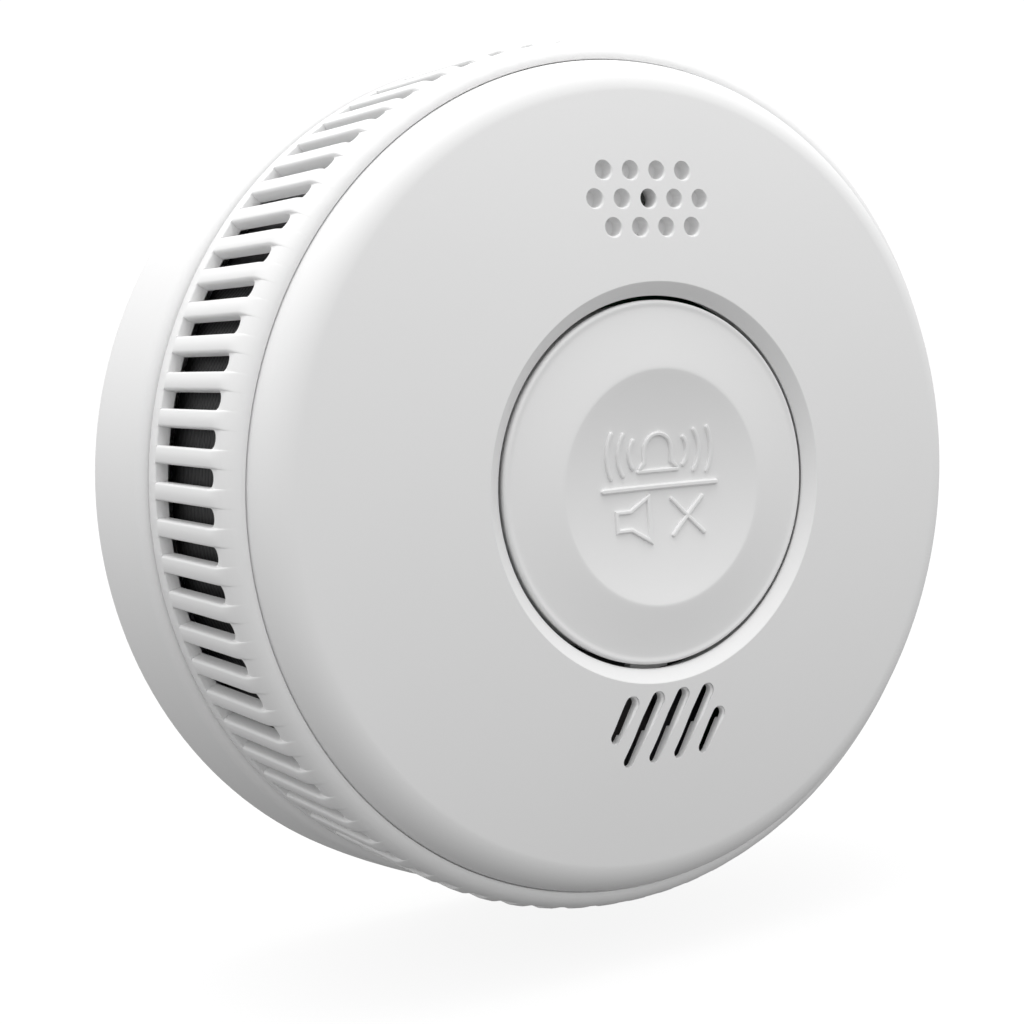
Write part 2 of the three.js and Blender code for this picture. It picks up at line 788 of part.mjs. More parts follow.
// Status lamp on the board and the clear pipe that carries its light to the middle hole.
function makeStatusLamp() {
  const from = boardFront + restGap;
  const to = from + ledHeight;
  piece("status_lamp", rod(0, holeHeight, ledRadius, from, to, 12), green);
  const pipeFront = faceDepth(holeHeight) - pipeRecess;
  piece("light_pipe", rod(0, holeHeight, pipeRadius, to + restGap, pipeFront, 10), clear);
}

// Loose electronic parts on the front of the board.
function makeBoardParts() {
  const from = boardFront + restGap;
  piece("microcontroller", block(chipX, chipZ, chipSize, chipSize, from, from + chipThickness), dark);
  piece("boost_inductor", rod(inductorX, inductorZ, inductorRadius, from, from + inductorHeight, 16), dark);
  const capacitor = rod(capacitorX, capacitorZ, capacitorRadius, from, from + capacitorHeight, 16);
  piece("storage_capacitor", capacitor, steel);
  const header = block(headerX, headerZ, headerWidth, headerLength, from, from + headerHeight);
  piece("service_header", header, dark);
}

// Slide switch behind the back wall. Its knob sits below the back face, under the mounting plate.
function makePowerSwitch() {
  const from = recessEnd + restGap;
  const to = from + powerCaseDepth;
  const runLength = powerKnobLength + powerTravel + 2 * slideGap;
  const run = block(powerX, powerZ, runLength, powerKnob + 2 * slideGap, from - embed, from + powerRunDepth);
  const body = block(powerX, powerZ, runLength + 2 * powerCaseWall, powerKnob + 2 * powerCaseWall, from, to);
  piece("power_switch_case", cut(body, run), dark);
  const knobX = powerX - powerTravel / 2;
  const knobRear = floorStart + screwHeadRoom + powerKnobSink;
  const knobFront = from + powerRunDepth - slideGap;
  piece("power_switch_knob", block(knobX, powerZ, powerKnobLength, powerKnob, knobRear, knobFront), dark);
}

// Blank label in the shallow recess of the back.
function makeRatingLabel() {
  const front = floorStart + screwHeadRoom - restGap;
  const shape = new THREE.Shape();
  shape.absarc(0, labelShoulder, labelRadius, 0, Math.PI, false);
  shape.lineTo(-labelRadius, labelBottom);
  shape.lineTo(labelRadius, labelBottom);
  piece("rating_label", plateOf(shape, front - labelThickness, front, 12), paper);
}

makeMountingPlate();
makeBaseHousing();
makeVentRing();
makeInsectScreen();
makeFrontCover();
makeTestButton();
makeButtonSwitch();
makeScrews();
makeCircuitBoard();
makeChamber();
makeGasCell();
makeBattery();
makeSounder();
makeStatusLamp();
makeBoardParts();
makePowerSwitch();
makeRatingLabel();

export default alarm;
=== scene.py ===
import math

import bmesh
import bpy
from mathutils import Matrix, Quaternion, Vector


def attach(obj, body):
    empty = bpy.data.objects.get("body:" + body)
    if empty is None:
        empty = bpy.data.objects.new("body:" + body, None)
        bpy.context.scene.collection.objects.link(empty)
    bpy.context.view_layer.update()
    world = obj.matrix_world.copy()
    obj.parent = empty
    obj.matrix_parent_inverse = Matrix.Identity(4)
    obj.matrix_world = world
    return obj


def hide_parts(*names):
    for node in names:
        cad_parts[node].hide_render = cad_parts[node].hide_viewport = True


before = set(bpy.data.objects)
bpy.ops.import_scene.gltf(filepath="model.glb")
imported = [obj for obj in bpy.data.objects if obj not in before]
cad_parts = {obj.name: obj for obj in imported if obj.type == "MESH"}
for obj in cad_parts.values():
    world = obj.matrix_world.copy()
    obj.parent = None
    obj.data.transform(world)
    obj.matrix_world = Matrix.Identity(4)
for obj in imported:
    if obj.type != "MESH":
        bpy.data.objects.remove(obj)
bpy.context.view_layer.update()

# Camera. A 63 mm lens stands a quarter of a metre in front of the alarm's left side, a little above its
# middle, and leans over by two and a half degrees.
turn, rise, lean = math.radians(31.348), math.radians(5.625), math.radians(-2.492)
away = Vector((-math.sin(turn) * math.cos(rise), -math.cos(turn) * math.cos(rise), math.sin(rise)))
camera = bpy.data.objects.new("camera", bpy.data.cameras.new("camera"))
camera.data.sensor_width = 36
camera.data.lens = 63.42
camera.data.clip_start = 0.01
camera.location = (-0.127914, -0.218586, 0.018638)
camera.rotation_mode = "QUATERNION"
camera.rotation_quaternion = away.to_track_quat("Z", "Y") @ Quaternion((0, 0, 1), lean)
bpy.context.scene.collection.objects.link(camera)
bpy.context.scene.camera = camera
bpy.context.scene.view_settings.view_transform = "Standard"
bpy.context.scene.view_settings.look = "None"

# Mounting plate. A flat moulded disc of off-white ABS that two wall screws hold through its keyholes.
# Its rear face lies on the wall, and three hooks on its front carry the alarm.


def object_from(bm, name):
    bmesh.ops.recalc_face_normals(bm, faces=bm.faces)
    mesh = bpy.data.meshes.new(name)
    bm.to_mesh(mesh)
    bm.free()
    made = bpy.data.objects.new(name, mesh)
    bpy.context.scene.collection.objects.link(made)
    return made


def soften(thing, degrees=32):
    mesh = thing.data
    mesh.polygons.foreach_set("use_smooth", [True] * len(mesh.polygons))
    mesh.set_sharp_from_angle(angle=math.radians(degrees))


def place(radius, depth, angle):
    return (radius * math.cos(angle) / 1000, -depth / 1000, radius * math.sin(angle) / 1000)


# A ring or disc turned about the alarm's axis, from (radius, depth) corners in millimetres.
def turned(bm, profile, sides, middle=(0, 0), closed=True):
    rows = []
    for radius, depth in profile:
        if radius == 0:
            rows.append([bm.verts.new((middle[0] / 1000, -depth / 1000, middle[1] / 1000))] * sides)
            continue
        row = []
        for i in range(sides):
            x, y, z = place(radius, depth, 2 * math.pi * i / sides)
            row.append(bm.verts.new((x + middle[0] / 1000, y, z + middle[1] / 1000)))
        rows.append(row)
    pairs = list(zip(rows, rows[1:]))
    if closed:
        pairs.append((rows[-1], rows[0]))
    for low, high in pairs:
        for i in range(sides):
            j = (i + 1) % sides
            corners = list(dict.fromkeys([low[i], low[j], high[j], high[i]]))
            if len(corners) > 2:
                bm.faces.new(corners)


# A bar with any flat outline, between two depths.
def slab(bm, outline, start, end):
    rear = [bm.verts.new((x / 1000, -start / 1000, z / 1000)) for x, z in outline]
    front = [bm.verts.new((x / 1000, -end / 1000, z / 1000)) for x, z in outline]
    bm.faces.new(rear)
    bm.faces.new(front)
    for i in range(len(outline)):
        j = (i + 1) % len(outline)
        bm.faces.new([rear[i], rear[j], front[j], front[i]])


def carve(thing, tool_bm):
    tool = object_from(tool_bm, "tool")
    change = thing.modifiers.new("carve", "BOOLEAN")
    change.operation = "DIFFERENCE"
    change.solver = "EXACT"
    change.object = tool
    view = bpy.context.evaluated_depsgraph_get()
    carved = bpy.data.meshes.new_from_object(thing.evaluated_get(view))
    thing.modifiers.clear()
    thing.data = carved
    bpy.data.objects.remove(tool)


# Fine grain of a spark-eroded mould: tiny bumps and a slight change of gloss over the surface.
grain = bpy.data.node_groups.new("Moulded grain", "ShaderNodeTree")
for name, kind, way in (
    ("Size", "NodeSocketFloat", "INPUT"),
    ("Height", "NodeSocketFloat", "INPUT"),
    ("Light colour", "NodeSocketColor", "INPUT"),
    ("Deep colour", "NodeSocketColor", "INPUT"),
    ("Smooth gloss", "NodeSocketFloat", "INPUT"),
    ("Dull gloss", "NodeSocketFloat", "INPUT"),
    ("Color", "NodeSocketColor", "OUTPUT"),
    ("Roughness", "NodeSocketFloat", "OUTPUT"),
    ("Normal", "NodeSocketVector", "OUTPUT"),
):
    grain.interface.new_socket(name=name, in_out=way, socket_type=kind)
taken = grain.nodes.new("NodeGroupInput")
given = grain.nodes.new("NodeGroupOutput")
spot = grain.nodes.new("ShaderNodeTexCoord")
fine = grain.nodes.new("ShaderNodeTexNoise")
fine.inputs["Detail"].default_value = 2
broad = grain.nodes.new("ShaderNodeTexNoise")
broad.inputs["Scale"].default_value = 38
broad.inputs["Detail"].default_value = 3
bump = grain.nodes.new("ShaderNodeBump")
bump.inputs["Distance"].default_value = 0.00002
tint = grain.nodes.new("ShaderNodeMix")
tint.data_type = "RGBA"
gloss = grain.nodes.new("ShaderNodeMapRange")
grain.links.new(spot.outputs["Object"], fine.inputs["Vector"])
grain.links.new(spot.outputs["Object"], broad.inputs["Vector"])
grain.links.new(taken.outputs["Size"], fine.inputs["Scale"])
grain.links.new(taken.outputs["Height"], bump.inputs["Strength"])
grain.links.new(fine.outputs["Fac"], bump.inputs["Height"])
grain.links.new(broad.outputs["Fac"], tint.inputs["Factor"])
grain.links.new(taken.outputs["Light colour"], tint.inputs[6])
grain.links.new(taken.outputs["Deep colour"], tint.inputs[7])
grain.links.new(broad.outputs["Fac"], gloss.inputs["Value"])
grain.links.new(taken.outputs["Smooth gloss"], gloss.inputs["To Min"])
grain.links.new(taken.outputs["Dull gloss"], gloss.inputs["To Max"])
grain.links.new(tint.outputs[2], given.inputs["Color"])
grain.links.new(gloss.outputs["Result"], given.inputs["Roughness"])
grain.links.new(bump.outputs["Normal"], given.inputs["Normal"])


def finish_of(name, light, deep, gloss_range, size=2200, height=0.25, metal=0, clear=0):
    made = bpy.data.materials.new(name)
    made.use_nodes = True
    nodes = made.node_tree.nodes
    shader = nodes["Principled BSDF"]
    surface = nodes.new("ShaderNodeGroup")
    surface.node_tree = grain
    surface.inputs["Size"].default_value = size
    surface.inputs["Height"].default_value = height
    surface.inputs["Light colour"].default_value = (*light, 1)
    surface.inputs["Deep colour"].default_value = (*deep, 1)
    surface.inputs["Smooth gloss"].default_value = gloss_range[0]
    surface.inputs["Dull gloss"].default_value = gloss_range[1]
    shader.inputs["Metallic"].default_value = metal
    shader.inputs["Transmission Weight"].default_value = clear
    made.node_tree.links.new(surface.outputs["Color"], shader.inputs["Base Color"])
    made.node_tree.links.new(surface.outputs["Roughness"], shader.inputs["Roughness"])
    made.node_tree.links.new(surface.outputs["Normal"], shader.inputs["Normal"])
    return made


def dress(thing, material):
    thing.data.materials.clear()
    thing.data.materials.append(material)


plate_plastic = finish_of("plate_plastic", (0.80, 0.80, 0.785), (0.77, 0.77, 0.755), (0.48, 0.56))
bm = bmesh.new()
turned(bm, [(0, 0.5), (11.4, 0.5), (12, 0), (51.7, 0), (52.0, 0.12), (52.2, 0.5), (52.2, 1.9), (51.9, 2.2),
            (15.2, 2.2), (15, 2.5), (14, 2.5), (13.8, 2.2), (0, 2.2)], 144, closed=False)
plate = object_from(bm, "wall_plate_disc")
head_radius, neck_radius, neck_height = 4.2, 2.1, 6
for middle in (-30, 30):
    head = [math.radians(120 + 10 * i) for i in range(31)]
    neck = [math.pi * i / 16 for i in range(17)]
    keyhole = [(middle + head_radius * math.cos(a), head_radius * math.sin(a)) for a in head]
    keyhole += [(middle + neck_radius * math.cos(a), neck_height + neck_radius * math.sin(a)) for a in neck]
    bm = bmesh.new()
    slab(bm, keyhole, -1, 4)
    carve(plate, bm)
    bm = bmesh.new()
    turned(bm, [(0, -1), (4.7, -1), (4.7, 0.3), (0, 0.3)], 40, (middle, 0), closed=False)
    carve(plate, bm)
bm = bmesh.new()
for middle in (10, 130, 250):
    for inner, outer, start, end in ((38, 39.6, 1.9, 6.4), (38, 42.2, 5.0, 6.4)):
        steps = [math.radians(middle - 8 + 2 * i) for i in range(9)]
        outline = [(outer * math.cos(a), outer * math.sin(a)) for a in steps]
        outline += [(inner * math.cos(a), inner * math.sin(a)) for a in reversed(steps)]
        slab(bm, outline, start, end)
bm.from_mesh(plate.data)
bpy.data.objects.remove(plate)
plate = object_from(bm, "wall_plate_disc")
soften(plate)
dress(plate, plate_plastic)
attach(plate, "wall_plate")
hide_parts("mounting_plate")

# Rear housing. A moulded white ABS tub with a slightly flared wall, rounded at its rear rim and at the
# seam. Its floor has the bayonet slots, and four posts inside carry the board.
white_plastic = finish_of("white_plastic", (0.86, 0.86, 0.86), (0.84, 0.84, 0.84), (0.42, 0.50))
bm = bmesh.new()
quarter = [math.pi * i / 16 for i in range(9)]
rear_rim = [(54.5 + 1.5 * math.sin(a), 1.9 - 1.5 * math.cos(a)) for a in quarter]
seam_edge = [(53.7 + 1.5 * math.cos(a), 12.9 + 1.5 * math.sin(a)) for a in quarter]
wall = [(56 - 0.8 * (i / 8) ** 1.5, 1.9 + 11 * i / 8) for i in range(1, 8)]
turned(bm, [(0, 5.0), (35.5, 5.0), (35.5, 2.6), (52.7, 2.6), (52.7, 0.8), (53.1, 0.4)] + rear_rim + wall
       + seam_edge + [(52.7, 14.4), (52.7, 4.6), (37.5, 4.6), (35.5, 7.0), (0, 7.0)], 180, closed=False)
rear_housing = object_from(bm, "rear_housing")
for inner, outer, low, high in ((37.65, 39.95, -24.5, 9), (37.8, 42.55, -24.4, -5.5)):
    bm = bmesh.new()
    for middle in (10, 130, 250):
        steps = [math.radians(middle + low + (high - low) * i / 16) for i in range(17)]
        outline = [(outer * math.cos(a), outer * math.sin(a)) for a in steps]
        outline += [(inner * math.cos(a), inner * math.sin(a)) for a in reversed(steps)]
        slab(bm, outline, 1.5, 6.2)
    carve(rear_housing, bm)
bm = bmesh.new()
slab(bm, [(9.25, -8.05), (16.75, -8.05), (16.75, -3.95), (9.25, -3.95)], 1, 9)
carve(rear_housing, bm)
bm = bmesh.new()
board_post_circle, screw_circle = 33.8, 42.8
for angle in (45, 135, 195, 345):
    x = board_post_circle * math.cos(math.radians(angle))
    z = board_post_circle * math.sin(math.radians(angle))
    turned(bm, [(1.6, 21), (1.6, 29.7), (2.4, 29.7), (2.4, 6.9), (1.6, 6.9)], 24, (x, z))
for angle in (60, 180, 300):
    x = screw_circle * math.cos(math.radians(angle))
    z = screw_circle * math.sin(math.radians(angle))
    turned(bm, [(1.6, 4.5), (1.6, 14.8), (4, 14.8), (4, 4.5)], 24, (x, z))
bm.from_mesh(rear_housing.data)
bpy.data.objects.remove(rear_housing)
rear_housing = object_from(bm, "rear_housing")
soften(rear_housing)
dress(rear_housing, white_plastic)
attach(rear_housing, "alarm")
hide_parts("base_housing")

# Rating label. Thin white polyester film glued to the back, left blank.
label_film = finish_of("label_film", (0.78, 0.78, 0.76), (0.74, 0.74, 0.72), (0.35, 0.42), 900, 0.1)
dress(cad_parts["rating_label"], label_film)

# Power slide switch. A black nylon case behind the back wall with a black knob that runs in it.
nylon_light, nylon_deep = (0.035, 0.036, 0.038), (0.025, 0.026, 0.028)
dark_plastic = finish_of("dark_plastic", nylon_light, nylon_deep, (0.45, 0.6), 1500, 0.3)
dress(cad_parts["power_switch_case"], dark_plastic)
dress(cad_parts["power_switch_knob"], dark_plastic)

# Insect screen. A band of fine dark stainless mesh bent into a hoop behind the slots.
weave = bpy.data.node_groups.new("Woven wire", "ShaderNodeTree")
for name, kind, way in (
    ("Wire colour", "NodeSocketColor", "INPUT"),
    ("Hole colour", "NodeSocketColor", "INPUT"),
    ("Color", "NodeSocketColor", "OUTPUT"),
    ("Normal", "NodeSocketVector", "OUTPUT"),
):
    weave.interface.new_socket(name=name, in_out=way, socket_type=kind)
taken = weave.nodes.new("NodeGroupInput")
given = weave.nodes.new("NodeGroupOutput")
spot = weave.nodes.new("ShaderNodeTexCoord")
across = weave.nodes.new("ShaderNodeTexWave")
across.wave_type = "RINGS"
across.rings_direction = "Z"
across.inputs["Scale"].default_value = 700
along = weave.nodes.new("ShaderNodeTexWave")
along.bands_direction = "Y"
along.inputs["Scale"].default_value = 700
both = weave.nodes.new("ShaderNodeMath")
both.operation = "MAXIMUM"
tint = weave.nodes.new("ShaderNodeMix")
tint.data_type = "RGBA"
bump = weave.nodes.new("ShaderNodeBump")
bump.inputs["Distance"].default_value = 0.00005
weave.links.new(spot.outputs["Object"], across.inputs["Vector"])
weave.links.new(spot.outputs["Object"], along.inputs["Vector"])
weave.links.new(across.outputs["Fac"], both.inputs[0])
weave.links.new(along.outputs["Fac"], both.inputs[1])
weave.links.new(both.outputs["Value"], tint.inputs["Factor"])
weave.links.new(both.outputs["Value"], bump.inputs["Height"])
weave.links.new(taken.outputs["Hole colour"], tint.inputs[6])
weave.links.new(taken.outputs["Wire colour"], tint.inputs[7])
weave.links.new(tint.outputs[2], given.inputs["Color"])
weave.links.new(bump.outputs["Normal"], given.inputs["Normal"])
screen_steel = bpy.data.materials.new("screen_steel")
screen_steel.use_nodes = True
surface = screen_steel.node_tree.nodes.new("ShaderNodeGroup")
surface.node_tree = weave
surface.inputs["Wire colour"].default_value = (0.05, 0.05, 0.052, 1)
surface.inputs["Hole colour"].default_value = (0.012, 0.012, 0.012, 1)
shader = screen_steel.node_tree.nodes["Principled BSDF"]
shader.inputs["Roughness"].default_value = 0.55
shader.inputs["Metallic"].default_value = 0.6
screen_steel.node_tree.links.new(surface.outputs["Color"], shader.inputs["Base Color"])
screen_steel.node_tree.links.new(surface.outputs["Normal"], shader.inputs["Normal"])
bm = bmesh.new()
turned(bm, [(50.7, 15.1), (51.1, 15.1), (51.1, 33.8), (50.7, 33.8)], 180)
screen = object_from(bm, "screen_hoop")
soften(screen)
dress(screen, screen_steel)
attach(screen, "alarm")
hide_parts("insect_screen")

# Vent ring. White ABS moulded in one: a rear hoop, a front hoop and 78 ribs with an open slot between
# every two. The ribs stand proud of the front hoop and curve down into it.
bm = bmesh.new()
rib_count = 78
crest_radius, groove_radius, rib_foot = 54, 53.5, 52.4
slot_start, slot_front, ring_front = 17.2, 33.67, 37.07
slot_round = 0.16
corner_round = 0.3
pitch = 2 * math.pi / rib_count
half_rib = crest_radius * pitch / 4
half_slot = crest_radius * pitch / 4


# How far across a rib a place is: 1 on its top, 0 beside it, with a rounded corner between.
def rib_share(across_rib):
    side = half_rib - abs(across_rib)
    if side <= 0:
        return 0
    if side >= corner_round:
        return 1
    return math.sqrt(1 - (1 - side / corner_round) ** 2)


def between(table, value):
    for (low, a), (high, b) in zip(table, table[1:]):
        if value <= high:
            return a + (b - a) * (value - low) / (high - low)
    return table[-1][1]


groove = [(30, groove_radius), (34.3, groove_radius), (34.9, 53.42), (35.4, 53.27), (35.9, 53.0),
          (36.3, 52.68), (36.6, 52.35), (36.85, 51.95), (37.0, 51.65), (ring_front, 51.35)]
crest = [(30, crest_radius), (32.8, crest_radius), (33.4, 53.95), (33.9, 53.84), (34.4, 53.68), (34.9, 53.5),
         (35.4, 53.31), (35.9, 53.01), (36.3, 52.69), (36.6, 52.36), (36.85, 51.95), (37.0, 51.65),
         (ring_front, 51.35)]
corner = (corner_round, 0.16, 0.07, 0.02, 0)
places = [inset - half_rib for inset in reversed(corner)] + [0] + [half_rib - inset for inset in corner]
beside = [0.06, 0.25, 0.5, 0.8, 1.0, 1.2, 1.5, 1.75, 1.94]
columns = []
for i in range(rib_count):
    middle = (i + 0.5) * pitch
    columns += [(middle + across / crest_radius, across) for across in places]
    for share in beside:
        across = half_rib + half_slot * share
        columns.append((middle + across / crest_radius, None if share == 1 else across))
front_rows = []
rear_rows = []
for angle, across in columns:
    share = rib_share(across) if across is not None else 0
    off_slot = crest_radius * abs((angle / pitch + 0.5) % 1 - 0.5) * pitch
    reach = min(off_slot / half_slot, 1)
    open_slot = off_slot < half_slot - 0.001
    slot_end = slot_front - half_slot + half_slot * math.sqrt(1 - reach ** 2)
    rounding = slot_round if open_slot else 0
    line = [(rib_foot, slot_end)]
    lip = ((slot_end, rounding), (slot_end + 0.05, 0.45 * rounding), (slot_end + slot_round, 0))
    for depth, drop in lip:
        outer = between(groove, depth) + share * (between(crest, depth) - between(groove, depth))
        line.append((outer - drop, depth))
    for step in range(1, 19):
        depth = slot_end + slot_round + (ring_front - slot_end - slot_round) * step / 18
        outer = between(groove, depth) + share * (between(crest, depth) - between(groove, depth))
        line.append((outer, depth))
    line += [(51.12, 37.0), (51.04, 36.86), (51.04, 35.17), (48.5, 35.17), (48.5, 34.17), (rib_foot, 34.17)]
    front_rows.append([bm.verts.new(place(r, d, angle)) for r, d in line])
    rear = [(rib_foot, slot_start), (crest_radius - rounding, slot_start),
            (crest_radius - 0.45 * rounding, slot_start - 0.05), (crest_radius, slot_start - slot_round),
            (crest_radius, 15.1), (53.9, 14.88), (53.7, 14.8), (rib_foot, 14.8), (rib_foot, 11.8),
            (51.4, 11.8)]
    rear_rows.append([bm.verts.new(place(r, d, angle)) for r, d in rear])
for rows in (front_rows, rear_rows):
    for one, two in zip(rows, rows[1:] + rows[:1]):
        for k in range(len(one)):
            n = (k + 1) % len(one)
            bm.faces.new([one[k], one[n], two[n], two[k]])
rib_end = slot_front - half_slot
for i in range(rib_count):
    middle = (i + 0.5) * pitch
    tops = [(a, groove_radius + (crest_radius - groove_radius) * rib_share(a)) for a in places]
    section = [(-half_rib, rib_foot)] + tops + [(half_rib, rib_foot)]
    ends = []
    for depth in (slot_start, 25, rib_end):
        ends.append([bm.verts.new(place(r, depth, middle + a / crest_radius)) for a, r in section])
    for one, two in zip(ends, ends[1:]):
        for k in range(len(section)):
            n = (k + 1) % len(section)
            bm.faces.new([one[k], one[n], two[n], two[k]])
bmesh.ops.remove_doubles(bm, verts=bm.verts, dist=0.000002)
vent_ring = object_from(bm, "slotted_ring")
soften(vent_ring, 38)
dress(vent_ring, white_plastic)
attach(vent_ring, "alarm")
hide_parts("vent_ring")

# Circuit board. Green glass-epoxy laminate, held on the posts by four steel screws.
board_laminate = finish_of("board_laminate", (0.02, 0.13, 0.06), (0.015, 0.10, 0.045), (0.3, 0.4), 900, 0.1)
steel = finish_of("steel", (0.55, 0.56, 0.57), (0.48, 0.49, 0.50), (0.25, 0.4), 900, 0.1, 1)
dress(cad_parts["circuit_board"], board_laminate)
for number in (1, 2, 3, 4):
    dress(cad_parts[f"board_screw_{number}"], steel)

# Smoke chamber. Black polycarbonate base and louvred cap, with an infrared emitter and a photodiode.
acrylic_light, acrylic_deep = (0.85, 0.87, 0.88), (0.8, 0.82, 0.83)
clear_plastic = finish_of("clear_plastic", acrylic_light, acrylic_deep, (0.08, 0.14), 900, 0.05, 0, 0.9)
dress(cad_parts["chamber_base"], dark_plastic)
dress(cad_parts["chamber_cap"], dark_plastic)
dress(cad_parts["photodiode"], dark_plastic)
dress(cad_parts["infrared_emitter"], clear_plastic)

# Gas cell. A pressed steel can on two pins, with a white vented cap that faces the back.
dress(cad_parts["co_cell_body"], steel)
dress(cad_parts["co_cell_cap"], white_plastic)
dress(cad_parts["co_cell_pin_1"], steel)
dress(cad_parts["co_cell_pin_2"], steel)

# Battery. A lithium cell in a blue sleeve lies in an open plastic holder between two nickel tabs.
cell_wrap = finish_of("cell_wrap", (0.03, 0.09, 0.28), (0.025, 0.075, 0.24), (0.25, 0.35), 900, 0.1)
dress(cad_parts["lithium_cell"], cell_wrap)
dress(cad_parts["battery_holder"], plate_plastic)
dress(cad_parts["battery_tab_positive"], steel)
dress(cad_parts["battery_tab_negative"], steel)

# Sounder. A piezo disc of black-lacquered brass in a black case, pressed by two bare brass springs.
brass = finish_of("brass", (0.60, 0.42, 0.14), (0.52, 0.36, 0.12), (0.25, 0.4), 900, 0.1, 1)
dress(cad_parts["sounder_case"], dark_plastic)
lacquer_light, lacquer_deep = (0.05, 0.045, 0.04), (0.035, 0.03, 0.028)
lacquered_brass = finish_of("lacquered_brass", lacquer_light, lacquer_deep, (0.35, 0.5), 900, 0.1)
dress(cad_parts["piezo_disc"], lacquered_brass)
dress(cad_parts["sounder_contact_1"], brass)
dress(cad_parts["sounder_contact_2"], brass)

# Status lamp and light pipe. A green lamp on the board shines into an acrylic rod with a domed end, which
# stops just behind the middle hole of the cover. The rod is coloured near black as painted shade, so the
# hole looks dark.
hole_shade_light, hole_shade_deep = (0.03, 0.032, 0.03), (0.02, 0.022, 0.02)
hole_shade_plastic = finish_of("hole_shade_plastic", hole_shade_light, hole_shade_deep, (0.1, 0.16), 900, 0.05)
lamp_plastic = finish_of("lamp_plastic", (0.10, 0.36, 0.14), (0.08, 0.30, 0.12), (0.15, 0.25), 900, 0.05)
dress(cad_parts["status_lamp"], lamp_plastic)
bm = bmesh.new()
dome = [(0.75 * math.cos(a), 41.0 + 0.273 * math.sin(a)) for a in [math.pi * i / 12 for i in range(6)]]
turned(bm, [(0, 35.2), (0.75, 35.2)] + dome + [(0, 41.273)], 24, (0, 34), closed=False)
light_pipe = object_from(bm, "light_rod")
soften(light_pipe)
# The near-black rod finish is painted shade for the middle hole.
dress(light_pipe, hole_shade_plastic)
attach(light_pipe, "alarm")
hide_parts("light_pipe")

# Small parts of the board: the processor, the inductor, the capacitor, the header and the push switch.
dress(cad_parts["microcontroller"], dark_plastic)
dress(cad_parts["boost_inductor"], dark_plastic)
dress(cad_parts["storage_capacitor"], steel)
dress(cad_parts["service_header"], dark_plastic)
dress(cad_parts["button_switch_case"], dark_plastic)
dress(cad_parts["button_switch_plunger"], steel)

# Test button. A white ABS cap with a gently coned rim round a shallow dish, and a skirt with three
# clips. The dish carries a raised bar between two raised pictograms: a ringing bell and a silenced speaker.
bm = bmesh.new()
dish_radius, dish_floor, dish_rise, dish_drop = 14, 42.56, 1.4, 0.42
dish = [(dish_radius * i / 20, dish_floor + dish_rise * (i / 20) ** 2) for i in range(21)]
rim = [(14.15, 43.985), (14.3, 44.0), (14.6, 43.97), (15.2, 43.89), (16.6, 43.69), (18.1, 43.47),
       (19.6, 43.25), (20.6, 43.1), (20.95, 43.05), (21.2, 43.04), (21.4, 43.08), (21.58, 43.11),
       (21.75, 43.08), (21.88, 42.98), (21.96, 42.84), (22, 42.6)]
skirt = [(22, 42.3), (21.7, 41.9), (21.7, 38.57), (20.5, 38.57), (20.5, 41.27), (14.2, 41.27), (0, 41.06)]
turned(bm, dish + rim + skirt, 180, closed=False)
# The dish sits a little under the middle of the button.
for vert in bm.verts:
    radius = math.hypot(vert.co.x, vert.co.z) * 1000
    if vert.co.y * 1000 < -42.5:
        vert.co.z -= dish_drop / 1000 * min(1, max(0, (19.5 - radius) / 5))
turned(bm, [(0, 38.27), (3, 38.27), (3, 42), (0, 42)], 36, closed=False)
for middle in (30, 150, 270):
    steps = [math.radians(middle - 7 + 2 * i) for i in range(8)]
    outline = [(23.2 * math.cos(a), 23.2 * math.sin(a)) for a in steps]
    outline += [(21.3 * math.cos(a), 21.3 * math.sin(a)) for a in reversed(steps)]
    slab(bm, outline, 38.22, 39.42)


# A raised line of moulded plastic along a path on the dish, with a rounded back and round ends.
def raised_line(bm, path, width, height, loop=False):
    points = [Vector(p) for p in path]
    half = width / 2
    section = [(-half, -0.12), (-half, 0.35 * height), (-0.82 * half, 0.75 * height), (-0.45 * half, height),
               (0.45 * half, height), (0.82 * half, 0.75 * height), (half, 0.35 * height), (half, -0.12)]
    stations = []
    count = len(points)
    for i, point in enumerate(points):
        before = points[i - 1] if i or loop else point
        after = points[(i + 1) % count] if i < count - 1 or loop else point
        first = (point - before).normalized() if (point - before).length else (after - point).normalized()
        second = (after - point).normalized() if (after - point).length else first
        ahead = (first + second).normalized()
        stretch = 1 / max(0.5, ahead.dot(second))
        stations.append((point, Vector((ahead.y, -ahead.x)) * stretch, 1, 1))
    if not loop:
        ends = []
        for turn_step in (1, 2, 3):
            a = math.pi / 2 * turn_step / 3.4
            ends.append((math.sin(a) * half, math.cos(a)))
        start, start_side = stations[0][0], stations[0][1]
        back = (points[0] - points[1]).normalized()
        front = (points[-1] - points[-2]).normalized()
        stop, stop_side = stations[-1][0], stations[-1][1]
        head = [(start + back * out, start_side, thin, 0.4 + 0.6 * thin) for out, thin in reversed(ends)]
        tail = [(stop + front * out, stop_side, thin, 0.4 + 0.6 * thin) for out, thin in ends]
        stations = head + stations + tail
    rows = []
    for point, side, thin, low in stations:
        row = []
        for across, up in section:
            spot = point + side * (across * thin)
            reach = Vector((spot.x, spot.y + dish_drop)).length / dish_radius
            depth = dish_floor + dish_rise * reach ** 2 + up * (low if up > 0 else 1)
            row.append(bm.verts.new((spot.x / 1000, -depth / 1000, spot.y / 1000)))
        rows.append(row)
    pairs = list(zip(rows, rows[1:]))
    if loop:
        pairs.append((rows[-1], rows[0]))
    else:
        bm.faces.new(rows[0])
        bm.faces.new(rows[-1])
    for one, two in pairs:
        for k in range(len(section) - 1):
            bm.faces.new([one[k], one[k + 1], two[k + 1], two[k]])


